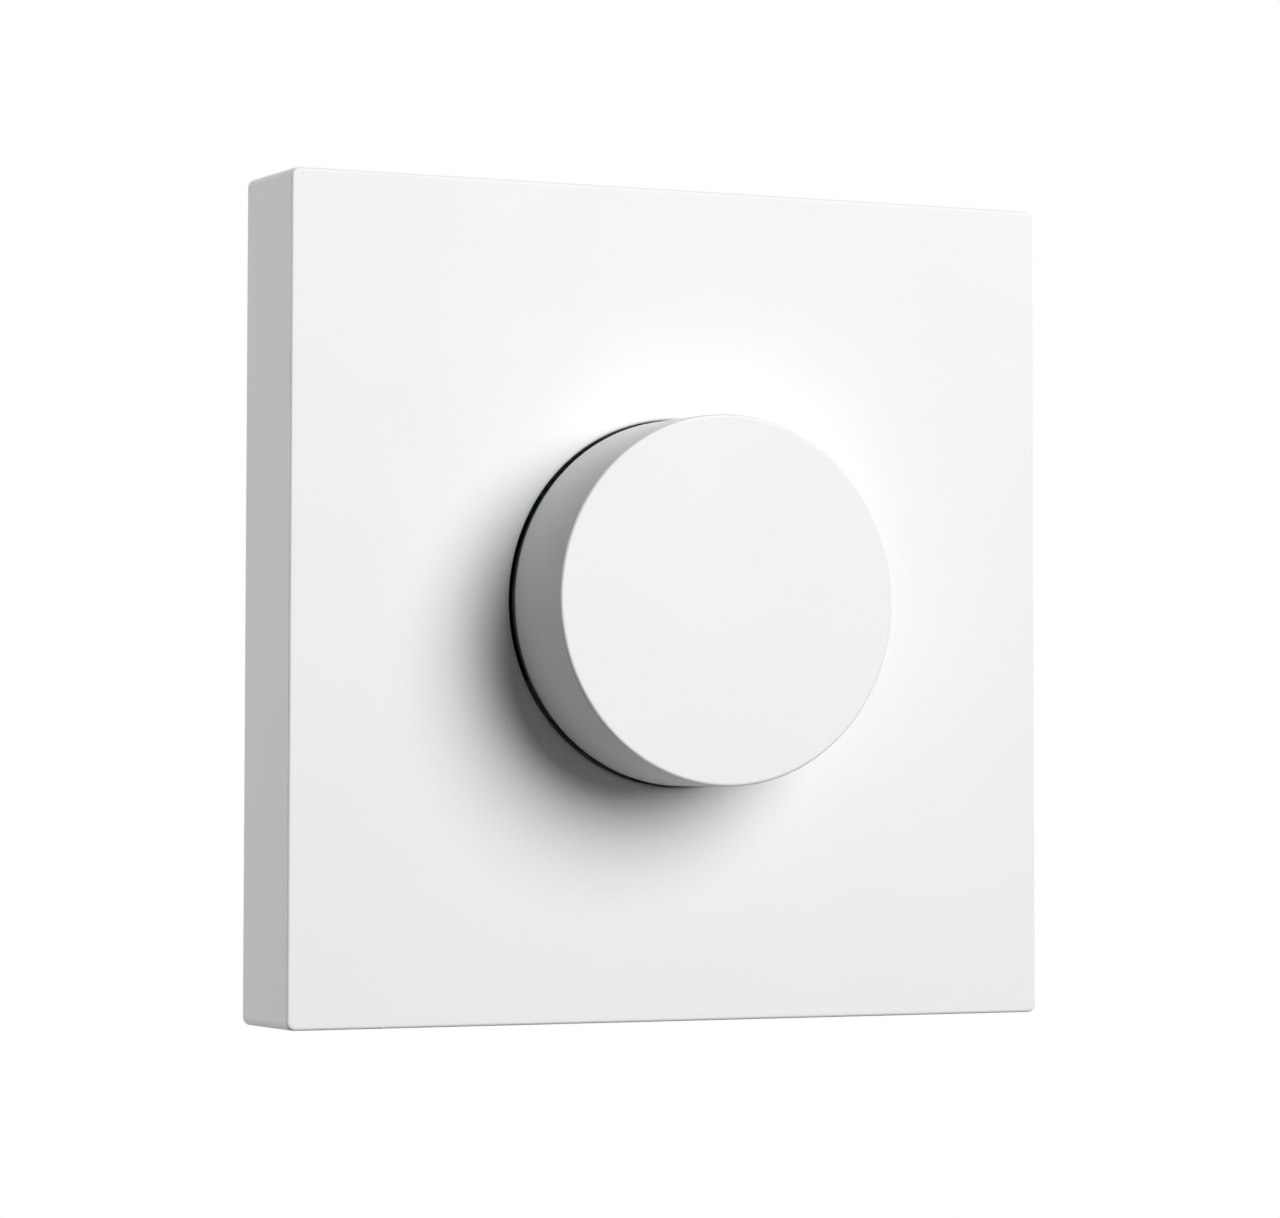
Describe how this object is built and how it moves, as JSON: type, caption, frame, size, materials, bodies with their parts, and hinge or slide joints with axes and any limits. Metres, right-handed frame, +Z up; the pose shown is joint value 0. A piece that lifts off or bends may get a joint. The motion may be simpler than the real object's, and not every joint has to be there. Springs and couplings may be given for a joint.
{
  "type": "wireless knob switch",
  "caption": "Square white wireless wall switch with a large round knob that turns endlessly and presses in, on a bracket with screw slots",
  "frame": {"origin": "centre of the bracket's back face, on the wall", "axes": "+Z up, +Y into the wall, -Y towards the room along the knob's axis, +X to the right as seen from the room"},
  "size_m": [0.086, 0.0242, 0.086],
  "materials": {
    "panel_white": "satin",
    "knob_white": "satin",
    "cover_white": "matte",
    "bracket_white": "matte",
    "carrier_grey": "matte",
    "board_green": "gloss",
    "screw_steel": "satin",
    "cell_steel": "satin",
    "contact_nickel": "satin",
    "shield_tin": "satin",
    "chip_black": "matte",
    "capacitor_tan": "satin",
    "encoder_black": "satin",
    "bushing_zinc": "satin",
    "spring_steel": "polished",
    "rotor_ivory": "satin",
    "shaft_metal": "satin"
  },
  "bodies": {
    "base": {"front_panel": "panel_white", "rear_cover": "cover_white", "wall_bracket": "bracket_white", "housing_screws": "screw_steel", "battery_cover": "cover_white", "coin_cell_left": "cell_steel", "coin_cell_right": "cell_steel", "positive_contacts": "contact_nickel", "negative_contacts": "contact_nickel", "main_circuit_board": "board_green", "board_screws": "screw_steel", "radio_module": "board_green", "radio_shield": "shield_tin", "control_chip": "chip_black", "capacitors": "capacitor_tan", "encoder_housing": "encoder_black", "encoder_frame": "shield_tin", "encoder_bushing": "bushing_zinc", "encoder_terminals": "contact_nickel", "detent_spring": "spring_steel", "dome_spring": "spring_steel"},
    "rotor": {"encoder_rotor": "rotor_ivory"},
    "knob": {"knob_cap": "knob_white", "knob_carrier": "carrier_grey", "encoder_shaft": "shaft_metal", "shaft_retaining_ring": "spring_steel"},
    "plunger": {"switch_plunger": "rotor_ivory"}
  },
  "joints": [
    {"name": "knob_turn", "type": "hinge", "parent": "base", "child": "rotor", "pos_m": [0, 0, 0], "axis": [0, -1, 0], "continuous": true, "deforming": ["detent_spring"]},
    {"name": "knob_press", "type": "slide", "parent": "rotor", "child": "knob", "axis": [0, 1, 0], "range_m": [0, 0.0005], "stiffness_N_per_m": 5000, "springref_m": -0.0005, "deforming": ["dome_spring"]},
    {"name": "plunger_press", "type": "slide", "parent": "base", "child": "plunger", "axis": [0, 1, 0], "range_m": [0, 0.0005]}
  ],
  "couplings": [
    {"joint": "plunger_press", "follows": "knob_press", "ratio": 1}
  ]
}
